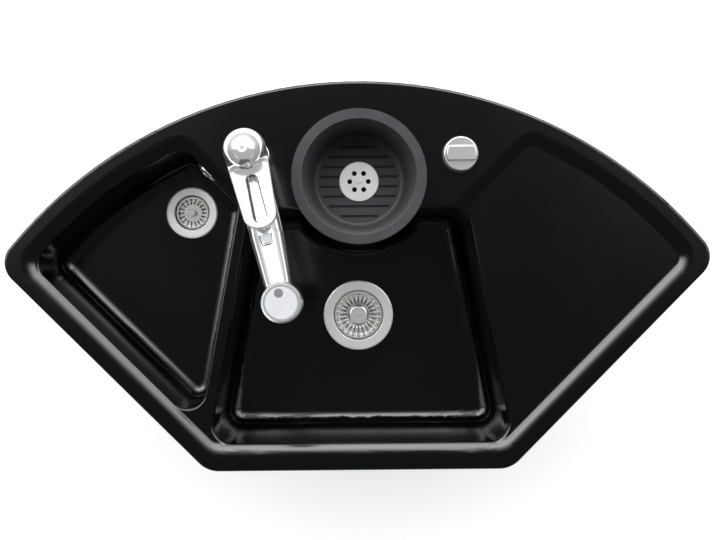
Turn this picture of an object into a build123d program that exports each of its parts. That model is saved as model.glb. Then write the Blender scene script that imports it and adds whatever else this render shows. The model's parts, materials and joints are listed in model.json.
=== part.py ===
"""Corner kitchen sink of black glazed ceramic, with its wastes, overflow, pull-out tap and waste knob.

Millimetres. The drawing frame has X along the front edge, Y from the front edge to the back of the corner
and Z up from the worktop. The saved pieces are moved so that the origin is on the worktop, under the
middle of the front rim.
"""
import os
from math import atan2, cos, degrees, radians, sin, sqrt, tan

from build123d import *

# --- ceramic: outline -------------------------------------------------------------------------------
SINK_DEPTH = 598.0  # front edge to the top of the back arc
FRONT_LEN = 466.6  # front edge, measured to the crossing of the 45 degree sides
BACK_ARC_R = 693.5
FRONT_CORNER_R = 43.0
TIP_CORNER_R = 37.0
RIM_SEAL_T = 2.0
RIM_T = 10.0
RIM_TOP_R = 5.0
RIM_FOOT_R = 1.5
SEAT_W = 22.0  # flat ring under the rim that lies on the worktop
SEAT_MID = 12.0  # front edge to the origin

# --- ceramic: recess, bowls and well ----------------------------------------------------------------
RECESS_DEPTH = 8.0
STEP_SLOPE = 34.0  # degrees from level
STEP_FOOT_R = 10.0
STEP_TOP_R = 30.0
STEP_FRONT = 36.0  # outline to the middle of the step
STEP_SIDE = 31.5
STEP_ARC = 34.0
RECESS_CORNER_R = 26.0
RECESS_TIP_R = 20.0
DECK_BACK = 355.6  # top of the back arc to the crossing of the deck's 45 degree edges
DECK_NOTCH = 55.0  # half-width at which those edges end, inside the main bowl
WALL = 10.0
FLOOR_T = 12.0
MAIN_DEPTH = 190.0
MAIN_X = 3.0
MAIN_SIDE = 31.8  # how much less the half-width of the main bowl at MAIN_MID_Y is than that of the front
MAIN_MID_Y = 215.0
MAIN_FLARE = 10.5
MAIN_FRONT = 42.0
MAIN_BACK = 198.0  # top of the back arc to the back of the main bowl
MAIN_FRONT_R = 30.0
MAIN_BACK_R = 31.0
MAIN_DRAFT = 1.0
FLOOR_R = 24.0
MAIN_EDGE_R = 6.0
HALF_EDGE_R = 4.0
DIVIDER_T = 20.0
HALF_DEPTH = 130.0
HALF_DRAFT = 2.0
HALF_FLOOR_R = 22.0
HALF_SIDE = 38.0
HALF_ARC = 42.0
HALF_DECK = 7.5  # deck's 45 degree edge to the wall of the half bowl
HALF_TIP_R = 28.0
HALF_CORNER_R = 28.0
WELL_X = 4.0
WELL_BACK = 147.0  # top of the back arc to the middle of the well
WELL_R = 93.0
WELL_DEPTH = 125.0
WELL_HORN_R = 30.0
WELL_SLOT_W = 44.0
WELL_SLOT_H = 14.0
DECK_HOLE_X = 159.0
DECK_HOLE_BACK = 115.0
DECK_HOLE_R = 17.5

# --- shared clearances ------------------------------------------------------------------------------
RUN_GAP = 0.3  # between pieces that turn or slide in each other
FIT_GAP = 0.3  # between pieces that are screwed, pressed or glued together
PIPE_GAP = 0.4
HOLE_GAP = 1.0  # anything that passes through the ceramic

# --- wastes -----------------------------------------------------------------------------------------
MAIN_WASTE_X = 1.0
MAIN_WASTE_OFF = 9.0  # behind the middle of the main bowl
HALF_WASTE_SIDE = 40.7  # beyond the end of the front edge
HALF_WASTE_BACK = 192.5
FLANGE_T = 2.0
FLANGE_SEAL_T = 1.0
MAIN_FLANGE_R = 59.5
MAIN_BODY_R = 44.0
MAIN_BODY_L = 43.0
MAIN_SEAT_R = 23.0
HALF_FLANGE_R = 42.5
HALF_BODY_R = 30.0
HALF_BODY_L = 38.0
HALF_SEAT_R = 17.0
BODY_T = 1.8
DISH_H = 1.0  # the flange dips towards its throat
THROAT_R = 2.5
NUT_SEAL_T = 3.0
LOCK_NUT_T = 12.0
LOCK_NUT_W = 11.0
MAIN_LUGS = 6
HALF_LUGS = 4
LUG_L = 8.0
LUG_W = 7.0
BASKET_T = 1.2
BASKET_RIM_R = 40.4
BASKET_FLOOR_R = 36.0
BASKET_DROP = 6.0
BASKET_H = 22.0
BASKET_SLOTS = 24
BASKET_SLOT_R = 28.5
BASKET_SLOT_L = 8.0
BASKET_SLOT_W = 2.6
BASKET_DOME_R = 23.0
BASKET_DOME_H = 15.0
PLUG_RIM_R = 26.2
PLUG_FLOOR_R = 22.5
PLUG_H = 9.0
PLUG_DISC_R = 17.5
PLUG_DISC_H = 4.0
PLUG_SLOTS = 18
PLUG_SLOT_L = 6.0
PLUG_SLOT_W = 2.0
SEAL_T = 4.0
SEAL_LAP = 4.0
MAIN_STEM_KNOB_R = 4.7
MAIN_STEM_TOP = -3.0
HALF_STEM_KNOB_R = 6.0
HALF_STEM_TOP = 1.0
STEM_R = 4.0
STEM_FOOT_R = 8.0
STEM_FOOT_T = 2.5
LIFTER_R = 3.0
LIFTER_L = 26.0
LIFTER_HEAD_T = 3.0
TAIL_WALL = 4.2
TAIL_GAP = 1.0  # lock nut to the tailpiece's collar
TAIL_NECK_R = 26.0
TAIL_CONE_H = 16.0
TAIL_NECK_H = 10.0
TAIL_INNER_R = 22.5
SPIDER_DROP = 54.0  # floor of the bowl to the middle of the lifter's guide
SPIDER_H = 8.0
SPIDER_HUB_R = 6.0
SPIDER_ARM_W = 3.0
CHANNEL_R = 4.0
GLAND_R = 5.0
GLAND_BORE_R = 2.2
GLAND_BOSS_R = 8.0
GLAND_BOSS_END = 50.0
GLAND_GRIP = 8.0
GLAND_HEAD_R = 7.0
GLAND_HEAD_T = 5.0
GLAND_L = 16.0
TEE_R = 25.5
TEE_WALL = 3.5
TEE_L = 92.0
TEE_LAP = 8.0
SPIGOT_R = 24.0
SPIGOT_L = 26.0
BRANCH_DROP = 42.0  # top of the tee's socket to the branch's axis
BRANCH_L = 62.0
PIPE_R = 20.0
PIPE_WALL = 2.2
PIPE_END_GAP = 2.0
SOCKET_WALL = 3.6
SOCKET_L = 22.0
SLIP_NUT_T = 16.0
SLIP_NUT_WALL = 4.5
SLIP_SEAL_T = 4.0
SLIP_LIP_T = 2.0
SLIP_LUGS = 8
PIPE_BEND_R = 45.0
HALF_TAIL_H = 42.0
OVERFLOW_IN_DROP = 26.0  # top of the half bowl's tailpiece to the overflow's inlet
OVERFLOW_IN_L = 52.0

# --- overflow ---------------------------------------------------------------------------------------
OVERFLOW_IN = 33.0  # inward along X from the corner of the half bowl between the deck and the arc
OVERFLOW_DEPTH = 40.0
OVERFLOW_HOLE_R = 13.0
ROSETTE_R = 18.0
ROSETTE_H = 5.0
ROSETTE_SLOTS = 6
ROSETTE_SLOT_L = 8.0
ROSETTE_SLOT_W = 3.2
ROSETTE_HOLE_R = 2.5
OVERFLOW_SEAL_T = 2.0
OVERFLOW_FLANGE_R = 19.5
OVERFLOW_FLANGE_T = 4.0
OVERFLOW_PIPE_R = 11.0
OVERFLOW_PIPE_WALL = 1.6
OVERFLOW_SOCKET_WALL = 2.2
OVERFLOW_SOCKET_L = 12.0
BRIDGE_W = 7.0
OVERFLOW_REACH = 22.0  # back of the wall to the axis of the downpipe
OVERFLOW_LEG = 34.0
OVERFLOW_BEND_R = 32.0

# --- tap: heights from the deck, distances along the spout from the swivel axis ---------------------
TAP_TURN = 14.3  # degrees from straight forward, towards the main bowl
DECK_SEAL_T = 1.2
TAP_BASE_R = 26.8
TAP_BASE_TOP = 7.0
TAP_SPIGOT_R = 19.0
TAP_SPIGOT_TOP = 24.0
TAP_BUSH_T = 2.4
TAP_COLUMN_R = 25.5
TAP_COLUMN_TOP = 97.0
TAP_COLUMN_EDGE_R = 3.0
SPOUT_BLEND_R = 14.0
SHANK_R = 16.4
SHANK_BORE_R = 11.0
SHANK_TOP = 8.7
SHANK_END = -52.0
DECK_WASHER_T = 3.0
DECK_WASHER_R = 30.0
DECK_NUT_T = 11.0
DECK_NUT_R = 24.0
SPOUT_RISE = 21.0
SPOUT_Z0 = 72.0
SPOUT_R = 24.0
SPOUT_END_R = 19.2
SEAM_S = 142.0
SEAM_GAP = 0.4
HEAD_REACH = 226.0
HEAD_R = 27.6
HEAD_ABOVE = 22.2  # above and below the spout's axis
HEAD_BELOW = 24.8
HEAD_BEVEL = 2.6
HEAD_BLEND_R = 4.0
CHAMBER_H = 14.0
CHAMBER_R = 20.5
HEAD_CAP_R = 22.3
HEAD_CAP_T = 2.4
INLAY_R = 5.9
INLAY_BACK = 13.8
INLAY_T = 1.0
NOZZLE_R = 23.5
NOZZLE_T = 6.0
NOZZLE_HOLES = 12
NOZZLE_RING_R = 17.0
NOZZLE_JET_R = 1.3
NOZZLE_MID_R = 9.0
HOSE_BORE_R = 9.0
HOSE_BORE_S = 50.0
DOCK_R = 18.0
DOCK_L = 34.0
DOCK_BUSH_T = 2.6
NIPPLE_R = 10.0
NIPPLE_BORE_R = 5.0
NIPPLE_L = 20.0
KEY_S = 146.0
KEY_L = 15.0
KEY_WIDE = 15.0
KEY_NARROW = 10.0
KEY_CORNER_R = 1.2
KEY_GAP = 0.4
KEY_POCKET = 9.0
KEY_TRAVEL = 2.5
KEY_PROUD = 0.5
CARTRIDGE_R = 18.0
CARTRIDGE_L = 40.0
CARTRIDGE_NUT_R = 20.5
CARTRIDGE_NUT_T = 8.0
SPINDLE_R = 12.7
SPINDLE_DISC_T = 9.0
POST_W = 11.0
POST_D = 12.0
POST_TOP = 125.0
PIVOT_X = 4.0  # the cartridge stands a little in front of the swivel axis
PIVOT_Z = 117.0
PIN_R = 2.0
LEVER_DOME_R = 31.0
DOME_Z = 115.0
LEVER_WALL = 4.5
LEVER_SKIRT = 3.0
LEVER_TIP_R = 24.0
LEVER_REACH = 122.0
LEVER_GAP = 4.2  # spout to the underside of the lever
LEVER_T = 9.0
LEVER_EDGE_R = 3.5
LEVER_BLEND_R = 16.0
SLOT_BACK = 41.5
SLOT_FRONT = 112.5
SLOT_BACK_R = 8.5
SLOT_FRONT_R = 10.0
SLOT_BEVEL = 1.5
CHEEK_GAP = 0.3
CHEEK_W = 4.0
CHEEK_D = 12.0

# --- waste knob: heights from the deck --------------------------------------------------------------
KNOB_BASE_R = 27.0
KNOB_BASE_TOP = 6.0
KNOB_NECK_END = -30.0
KNOB_R = 26.5
KNOB_DISC_TOP = 16.0
KNOB_TOP = 27.0
KNOB_EDGE_R = 3.0
KNOB_BAR_W = 24.0
KNOB_GAP = 0.5
KNOB_SPINDLE_R = 8.0
KNOB_SPINDLE_TOP = 20.0
KNOB_HOUSING_R = 24.0
KNOB_HOUSING_H = 28.0
KNOB_HOUSING_WALL = 4.0
KNOB_DRUM_R = 15.0
KNOB_DRUM_H = 13.0

# --- insert bowl: heights from the deck -------------------------------------------------------------
INSERT_RIM_R = 104.0
INSERT_RIM_IN_R = 88.0
INSERT_RIM_T = 3.0
INSERT_WALL = 2.6
INSERT_FLOOR_R = 74.0
INSERT_FLOOR_FILLET = 10.0
INSERT_DEPTH = 95.0
INSERT_HOLE_R = 27.0
INSERT_GROOVES = 8
INSERT_GROOVE_PITCH = 16.0
INSERT_GROOVE_W = 4.0
INSERT_GROOVE_DEPTH = 1.2
INSERT_RIBBED_R = 63.5
GRID_R = 32.5
GRID_T = 2.4
GRID_HOLES = 6
GRID_HOLE_R = 4.0
GRID_PITCH_R = 15.0
GRID_SCREW_R = 4.0
GRID_SCREW_H = 1.6
GRID_SCREW_SHANK_R = 2.5
GRID_SEAL_T = 1.5
GRID_TAIL_H = 20.0
GRID_TAIL_WALL = 2.2

# --- derived levels and places ----------------------------------------------------------------------
RIM_TOP = RIM_SEAL_T + RIM_T
RECESS_Z = RIM_TOP - RECESS_DEPTH
DECK_LINE = SINK_DEPTH - DECK_BACK
DECK_HOLE_Y = SINK_DEPTH - DECK_HOLE_BACK
MAIN_END = SINK_DEPTH - MAIN_BACK
MAIN_MID_HALF_W = FRONT_LEN / 2 - MAIN_SIDE
WELL_Y = SINK_DEPTH - WELL_BACK
MAIN_WASTE_Y = (MAIN_FRONT + MAIN_END) / 2 + MAIN_WASTE_OFF
HALF_WASTE_X = -FRONT_LEN / 2 - HALF_WASTE_SIDE
HALF_WASTE_Y = SINK_DEPTH - HALF_WASTE_BACK
HEAD_MID = SPOUT_Z0 + HEAD_REACH * tan(radians(SPOUT_RISE))
HEAD_TOP = HEAD_MID + HEAD_ABOVE
HEAD_BOTTOM = HEAD_MID - HEAD_BELOW
MAIN_FLOOR_Z = RIM_TOP - MAIN_DEPTH
HALF_FLOOR_Z = RIM_TOP - HALF_DEPTH
WELL_FLOOR_Z = RIM_TOP - WELL_DEPTH
ARC_Y = SINK_DEPTH - BACK_ARC_R
WALL_RISE = DECK_LINE - HALF_DECK * sqrt(2) - ARC_Y
OVERFLOW_X = (WALL_RISE - sqrt(2 * (BACK_ARC_R - HALF_ARC) ** 2 - WALL_RISE**2)) / 2 + OVERFLOW_IN
STEP_RUN = RECESS_DEPTH / tan(radians(STEP_SLOPE)) / 2
SEAT_DROP = FLANGE_T + FLANGE_SEAL_T
NUT_TOP = -FLOOR_T - NUT_SEAL_T
NUT_END = NUT_TOP - LOCK_NUT_T
TAIL_TOP = NUT_END - TAIL_GAP
MAIN_LIP_Z = BODY_T - MAIN_BODY_L
MAIN_CROWN_Z = BASKET_DOME_H - BASKET_H - BASKET_DROP
MAIN_TAIL_END = -MAIN_BODY_L - TAIL_WALL - TAIL_CONE_H - TAIL_NECK_H
TEE_TOP = MAIN_TAIL_END + TEE_LAP
TEE_END = TEE_TOP - TEE_L
BRANCH_Z = TEE_TOP - BRANCH_DROP
HALF_LIP_Z = BODY_T - HALF_BODY_L
HALF_CROWN_Z = PLUG_DISC_H - PLUG_H - BASKET_DROP
HALF_CUP_END = TAIL_TOP - HALF_TAIL_H
HALF_TAIL_END = HALF_CUP_END - SOCKET_L - PIPE_END_GAP
OVERFLOW_IN_Z = TAIL_TOP - OVERFLOW_IN_DROP
SOCKET_R = PIPE_R + PIPE_GAP + SOCKET_WALL
BRANCH_DIR = Vector(HALF_WASTE_X - MAIN_WASTE_X, HALF_WASTE_Y - MAIN_WASTE_Y, 0).normalized()
OVERFLOW_SOCKET_R = OVERFLOW_PIPE_R + PIPE_GAP + OVERFLOW_SOCKET_WALL
CABLE_TURN = degrees(atan2(DECK_HOLE_Y - MAIN_WASTE_Y, DECK_HOLE_X - MAIN_WASTE_X))
KEY_FLOOR = SPOUT_R - KEY_POCKET
PIN_L = POST_W + 2 * (CHEEK_GAP + CHEEK_W)
INSERT_FLOOR_Z = INSERT_RIM_T - INSERT_DEPTH
GRID_SEAL_Z = INSERT_FLOOR_Z - INSERT_WALL - GRID_SEAL_T
GRID_TAIL_END = GRID_SEAL_Z - GRID_TAIL_H
LEVEL = (Align.CENTER, Align.CENTER, Align.MIN)
ARM = (Align.MIN, Align.CENTER, Align.MIN)


# --- small helpers ----------------------------------------------------------------------------------
def save(name, *solids):
    """Write one piece, moved to the part's own origin."""
    shape = Compound(children=list(solids)) if len(solids) > 1 else solids[0]
    export_step(Pos(0, -SEAT_MID, 0) * shape, f"parts/{name}.step")


def turned(*points):
    """A turned piece from (radius, height) or (radius, height, corner radius) points, in order."""
    rounds = [point[2] if len(point) > 2 else 0 for point in points]
    line = FilletPolyline(*[point[:2] for point in points], radius=rounds, close=True)
    return revolve(Plane.XZ * make_face(line), Axis.Z)


def disc(radius, low, high):
    return Pos(0, 0, low) * Cylinder(radius, high - low, align=LEVEL)


def ring(outer, inner, low, high):
    return disc(outer, low, high) - disc(inner, low, high)


def prism(face, low, high):
    return Pos(0, 0, low) * extrude(face, high - low)


def hex_ring(across_r, inner, low, high):
    """A six-sided nut, across_r from the centre to a corner."""
    return prism(RegularPolygon(across_r, 6), low, high) - disc(inner, low, high)


def around(count, piece):
    """Copies of a piece, evenly about Z."""
    return [Rot(0, 0, 360 / count * i) * piece for i in range(count)]


def tube(points, bend_r, outer, inner):
    """A pipe along straight runs with round bends."""
    path = FilletPolyline(*points, radius=bend_r)
    section = Plane(origin=path @ 0, z_dir=path % 0) * (Circle(outer) - Circle(inner))
    return sweep(section, path=path)


def hull_of_circles(x0, r0, x1, r1):
    """Plan of two circles on the X axis joined by their outer tangents."""
    lean = (r0 - r1) / (x1 - x0)
    side = sqrt(1 - lean * lean)
    corners = [(x0 + r0 * lean, r0 * side), (x1 + r1 * lean, r1 * side)]
    corners += [(x, -y) for x, y in reversed(corners)]
    return make_face(Polyline(*corners, close=True)) + Pos(x0, 0) * Circle(r0) + Pos(x1, 0) * Circle(r1)


# --- ceramic ----------------------------------------------------------------------------------------
def outline(front, side, arc, corner_r, tip_r):
    """The sink's outline, moved in by the three distances."""
    shift = side * sqrt(2)
    k = FRONT_LEN / 2 - shift + ARC_Y
    tip_x = (k + sqrt(2 * (BACK_ARC_R - arc) ** 2 - k * k)) / 2
    tip_y = tip_x - FRONT_LEN / 2 + shift
    corner_x = FRONT_LEN / 2 - shift + front
    points = [(-tip_x, tip_y), (-corner_x, front), (corner_x, front), (tip_x, tip_y)]
    edges = [Line(a, b) for a, b in zip(points, points[1:])]
    edges.append(ThreePointArc((tip_x, tip_y), (0, SINK_DEPTH - arc), (-tip_x, tip_y)))
    face = make_face(edges)
    face = fillet([v for v in face.vertices() if v.Y < tip_y / 2], corner_r)
    return fillet([v for v in face.vertices() if abs(abs(v.X) - tip_x) < 1e-3], tip_r)


def deck_area(inward):
    """The raised deck behind the bowls, grown by a distance past its 45 degree edges."""
    c = DECK_LINE - inward * sqrt(2)
    far = SINK_DEPTH
    right = [(DECK_NOTCH, DECK_NOTCH + c), (far, far + c), (far, 3 * far)]
    left = [(-x, y) for x, y in reversed(right)]
    return make_face(Polyline(*right, *left, close=True))


def waste_hole(body_r, flange_r):
    """Hole in a bowl's floor for the waste's body, with a seat for its flange."""
    return disc(body_r + HOLE_GAP, -FLOOR_T, 0) + disc(flange_r + HOLE_GAP, -SEAT_DROP, 0)


def main_half_width(y):
    return MAIN_MID_HALF_W + (MAIN_MID_Y - y) * tan(radians(MAIN_FLARE))


def main_plan():
    front, back = main_half_width(MAIN_FRONT), main_half_width(MAIN_END)
    left, right = MAIN_X - front, MAIN_X + front
    corners = [(left, MAIN_FRONT), (right, MAIN_FRONT)]
    corners += [(MAIN_X + back, MAIN_END), (MAIN_X - back, MAIN_END)]
    rounds = [MAIN_FRONT_R, MAIN_FRONT_R, MAIN_BACK_R, MAIN_BACK_R]
    face = make_face(FilletPolyline(*corners, radius=rounds, close=True))
    face -= Pos(WELL_X, WELL_Y) * Circle(WELL_R + WALL)
    horns = [v for v in face.vertices() if v.Y > MAIN_END - 1e-3 and abs(v.X - WELL_X) < WELL_R + WALL]
    return fillet(horns, WELL_HORN_R)


def half_plan():
    face = outline(HALF_ARC, HALF_SIDE, HALF_ARC, HALF_CORNER_R, HALF_TIP_R)
    near, far = [MAIN_X - main_half_width(y) - DIVIDER_T for y in (-SINK_DEPTH, 2 * SINK_DEPTH)]
    side = [(-2 * SINK_DEPTH, -SINK_DEPTH), (near, -SINK_DEPTH), (far, 2 * SINK_DEPTH)]
    face &= make_face(Polyline(*side, (-2 * SINK_DEPTH, 2 * SINK_DEPTH), close=True))
    face -= deck_area(HALF_DECK)
    sharp = [v for v in face.vertices() if v.X > -(TIP_CORNER_R + SINK_DEPTH) / 2]
    return fillet(sharp, HALF_CORNER_R)


def cavity(face, low, draft, floor_r):
    solid = Pos(0, 0, RIM_TOP) * extrude(face, low - RIM_TOP, taper=draft)
    return fillet(solid.edges().group_by(Axis.Z)[0], floor_r)


def shell_block(face, low, draft, floor_r):
    """The outside of a bowl, one wall thickness around its cavity."""
    plan = offset(face, WALL - RIM_T * tan(radians(draft)))
    solid = Pos(0, 0, RIM_SEAL_T) * extrude(plan, low - RIM_SEAL_T, taper=draft)
    return fillet(solid.edges().group_by(Axis.Z)[0], floor_r)


def at_main(shape):
    return Pos(MAIN_WASTE_X, MAIN_WASTE_Y, MAIN_FLOOR_Z) * shape


def at_half(shape):
    return Pos(HALF_WASTE_X, HALF_WASTE_Y, HALF_FLOOR_Z) * shape


def overflow_wall():
    """Plane on the half bowl's deck-side wall at the overflow, with Z out of the wall into the bowl."""
    inward = HALF_DECK + OVERFLOW_DEPTH * tan(radians(HALF_DRAFT))
    y = DECK_LINE - inward * sqrt(2) - OVERFLOW_X
    level, up = cos(radians(HALF_DRAFT)) / sqrt(2), sin(radians(HALF_DRAFT))
    origin = (OVERFLOW_X, y, RIM_TOP - OVERFLOW_DEPTH)
    return Plane(origin=origin, x_dir=(1, -1, 0), z_dir=(-level, -level, up))


def mouth_edges(body, hollow):
    """Edges of the body where the walls of a bowl's cavity meet the deck, the step and the recess."""
    boxes = [(face, face.bounding_box()) for face in hollow.faces()]
    walls = [face for face, box in boxes if box.max.Z > RIM_TOP - 1e-3 and box.min.Z < RECESS_Z - 1]
    edges = [edge for edge in body.edges() if edge.bounding_box().min.Z > RECESS_Z - 1e-2]
    return [edge for edge in edges if any(wall.distance_to(Vertex(edge @ 0.5)) < 1e-3 for wall in walls)]


def sink_body():
    plate = prism(outline(0, 0, 0, FRONT_CORNER_R, TIP_CORNER_R), RIM_SEAL_T, RIM_TOP)
    plate = fillet(plate.edges().group_by(Axis.Z)[-1], RIM_TOP_R)
    plate = fillet(plate.edges().group_by(Axis.Z)[0], RIM_FOOT_R)

    foot = [STEP_FRONT + STEP_RUN, STEP_SIDE + STEP_RUN, STEP_ARC + STEP_RUN]
    recess = outline(*foot, RECESS_CORNER_R, RECESS_TIP_R) - deck_area(STEP_RUN)
    deck_corners = [v for v in recess.vertices() if v.Y > MAIN_END and abs(v.X) < SINK_DEPTH / 2]
    recess = fillet(deck_corners, RECESS_TIP_R)
    recess = Pos(0, 0, RECESS_Z) * extrude(recess, RECESS_DEPTH, taper=STEP_SLOPE - 90)
    plate -= fillet(recess.edges().group_by(Axis.Z)[0], STEP_FOOT_R)
    deck = [f for f in plate.faces().filter_by(Axis.Z) if abs(f.center().Z - RIM_TOP) < 1e-3]
    plate = fillet(deck[0].inner_wires()[0].edges(), STEP_TOP_R)

    under = outline(SEAT_W, SEAT_W, SEAT_W, FRONT_CORNER_R - SEAT_W, TIP_CORNER_R - SEAT_W)
    under -= deck_area(-WALL)
    main, half = main_plan(), half_plan()
    well = Pos(WELL_X, WELL_Y)
    body = plate + prism(under, RECESS_Z - WALL, RIM_SEAL_T)
    body += shell_block(main, MAIN_FLOOR_Z - FLOOR_T, MAIN_DRAFT, FLOOR_R + WALL)
    body += shell_block(half, HALF_FLOOR_Z - FLOOR_T, HALF_DRAFT, HALF_FLOOR_R + WALL)
    body += well * disc(WELL_R + WALL, WELL_FLOOR_Z - FLOOR_T, RIM_SEAL_T)

    main_hollow = cavity(main, MAIN_FLOOR_Z, MAIN_DRAFT, FLOOR_R)
    half_hollow = cavity(half, HALF_FLOOR_Z, HALF_DRAFT, HALF_FLOOR_R)
    body = body - main_hollow - half_hollow
    body = fillet(mouth_edges(body, main_hollow), MAIN_EDGE_R)
    body = fillet(mouth_edges(body, half_hollow), HALF_EDGE_R)

    body -= well * disc(WELL_R, WELL_FLOOR_Z, RIM_TOP)
    slot = Box(WELL_SLOT_W, WELL_R + 2 * WALL, WELL_SLOT_H, align=(Align.CENTER, Align.MAX, Align.MIN))
    body -= Pos(WELL_X, WELL_Y, WELL_FLOOR_Z) * slot
    for x in (-DECK_HOLE_X, DECK_HOLE_X):
        body -= Pos(x, DECK_HOLE_Y) * disc(DECK_HOLE_R, RIM_SEAL_T, RIM_TOP)
    body -= at_main(waste_hole(MAIN_BODY_R, MAIN_FLANGE_R))
    body -= at_half(waste_hole(HALF_BODY_R, HALF_FLANGE_R))
    body -= overflow_wall() * disc(OVERFLOW_HOLE_R, -2 * WALL, WALL)
    return body


def rim_seal():
    """Flat foam ring between the rim and the worktop."""
    edge = RIM_FOOT_R + HOLE_GAP
    outer = outline(edge, edge, edge, FRONT_CORNER_R - edge, TIP_CORNER_R - edge)
    inner = SEAT_W - HOLE_GAP
    hole = outline(inner, inner, inner, FRONT_CORNER_R - inner, TIP_CORNER_R - inner)
    return prism(outer - hole, 0, RIM_SEAL_T)


# --- wastes: heights from the floor of the bowl that each one serves --------------------------------
def waste_body(flange_r, body_r, body_l, seat_r):
    """Steel flange and threaded throat, with a lip at the foot on which the plug's seal closes."""
    bore = body_r - BODY_T
    return turned(
        (flange_r, -FLANGE_T),
        (flange_r, -FLANGE_T / 3),
        (flange_r - FLANGE_T, 0, 0.8),
        (bore, -DISH_H, THROAT_R),
        (bore, BODY_T - body_l),
        (seat_r, BODY_T - body_l),
        (seat_r, -body_l),
        (body_r, -body_l),
        (body_r, -FLANGE_T),
    )


def flange_seal(flange_r, body_r):
    return ring(flange_r - FLANGE_T, body_r + RUN_GAP, -SEAT_DROP, -FLANGE_T)


def under_seal(body_r):
    return ring(body_r + LOCK_NUT_W, body_r + RUN_GAP, NUT_TOP, -FLOOR_T)


def lock_nut(body_r, lugs):
    """Ring nut under the bowl, with lugs for a hand or a spanner."""
    rim = body_r + LOCK_NUT_W
    nut = disc(rim, NUT_END, NUT_TOP)
    for lug in around(lugs, Pos(rim, 0, NUT_END) * Box(LUG_L, LUG_W, LOCK_NUT_T, align=LEVEL)):
        nut += lug
    return nut - disc(body_r + FIT_GAP, NUT_END, NUT_TOP)


def main_basket():
    """Pressed strainer cup with radial slots round a dome."""
    top, floor = -BASKET_DROP, -BASKET_DROP - BASKET_H
    hole = STEM_R + RUN_GAP
    shoulder = BASKET_DOME_R * 0.72
    cup = turned(
        (BASKET_RIM_R, top),
        (BASKET_RIM_R, top - BASKET_T),
        (BASKET_RIM_R - BASKET_T, top - BASKET_T),
        (BASKET_FLOOR_R, floor - BASKET_T, 3.0),
        (BASKET_DOME_R, floor - BASKET_T, 2.0),
        (shoulder, MAIN_CROWN_Z - BASKET_T, 8.0),
        (hole, MAIN_CROWN_Z - BASKET_T),
        (hole, MAIN_CROWN_Z),
        (shoulder + BASKET_T, MAIN_CROWN_Z, 8.0 + BASKET_T),
        (BASKET_DOME_R + BASKET_T, floor, 0.8),
        (BASKET_FLOOR_R - BASKET_T, floor, 2.0),
        (BASKET_RIM_R - 2 * BASKET_T, top),
    )
    slot = Box(BASKET_SLOT_L, BASKET_SLOT_W, 4 * BASKET_T)
    return cup - around(BASKET_SLOTS, Pos(BASKET_SLOT_R, 0, floor) * slot)


def half_plug():
    """Shallow strainer cup with a raised middle disc, slotted at its edge."""
    top, floor = -BASKET_DROP, -BASKET_DROP - PLUG_H
    crown = HALF_CROWN_Z
    hole = STEM_R + RUN_GAP
    cup = turned(
        (PLUG_RIM_R, top),
        (PLUG_RIM_R, top - BASKET_T),
        (PLUG_RIM_R - BASKET_T, top - BASKET_T),
        (PLUG_FLOOR_R, floor - BASKET_T, 2.0),
        (PLUG_DISC_R + BASKET_T, floor - BASKET_T),
        (PLUG_DISC_R - BASKET_T, crown - BASKET_T),
        (hole, crown - BASKET_T),
        (hole, crown),
        (PLUG_DISC_R - BASKET_T, crown, 0.5),
        (PLUG_DISC_R + BASKET_T, floor),
        (PLUG_FLOOR_R - BASKET_T, floor, 1.5),
        (PLUG_RIM_R - 2 * BASKET_T, top),
    )
    slot = Box(PLUG_SLOT_L, PLUG_SLOT_W, 3 * PLUG_DISC_H)
    return cup - around(PLUG_SLOTS, Pos(PLUG_DISC_R, 0, floor) * slot)


def plug_stem(lip_z, crown_z, knob_r, knob_top):
    """Stem of a plug: foot below the rubber seal, shaft through the cup, and a small waisted knob."""
    foot = lip_z - STEM_FOOT_T
    return turned(
        (0, foot),
        (STEM_FOOT_R, foot),
        (STEM_FOOT_R, lip_z),
        (STEM_R, lip_z),
        (STEM_R, crown_z),
        (knob_r, crown_z),
        (knob_r, crown_z + 1.2),
        (knob_r * 0.75, crown_z + 3, 1.0),
        (knob_r, knob_top - 2.5, 1.0),
        (knob_r, knob_top, 1.2),
        (0, knob_top),
    )


def plug_seal(seat_r, lip_z, cup_z):
    """Rubber plug under the strainer cup; its wide foot closes on the lip of the waste body."""
    shaft = STEM_R + FIT_GAP
    return turned(
        (shaft, lip_z),
        (seat_r + SEAL_LAP, lip_z),
        (seat_r + SEAL_LAP, lip_z + SEAL_T, 1.0),
        (STEM_R + SEAL_LAP, lip_z + SEAL_T + 1),
        (STEM_R + SEAL_LAP, cup_z),
        (shaft, cup_z),
    )


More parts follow.
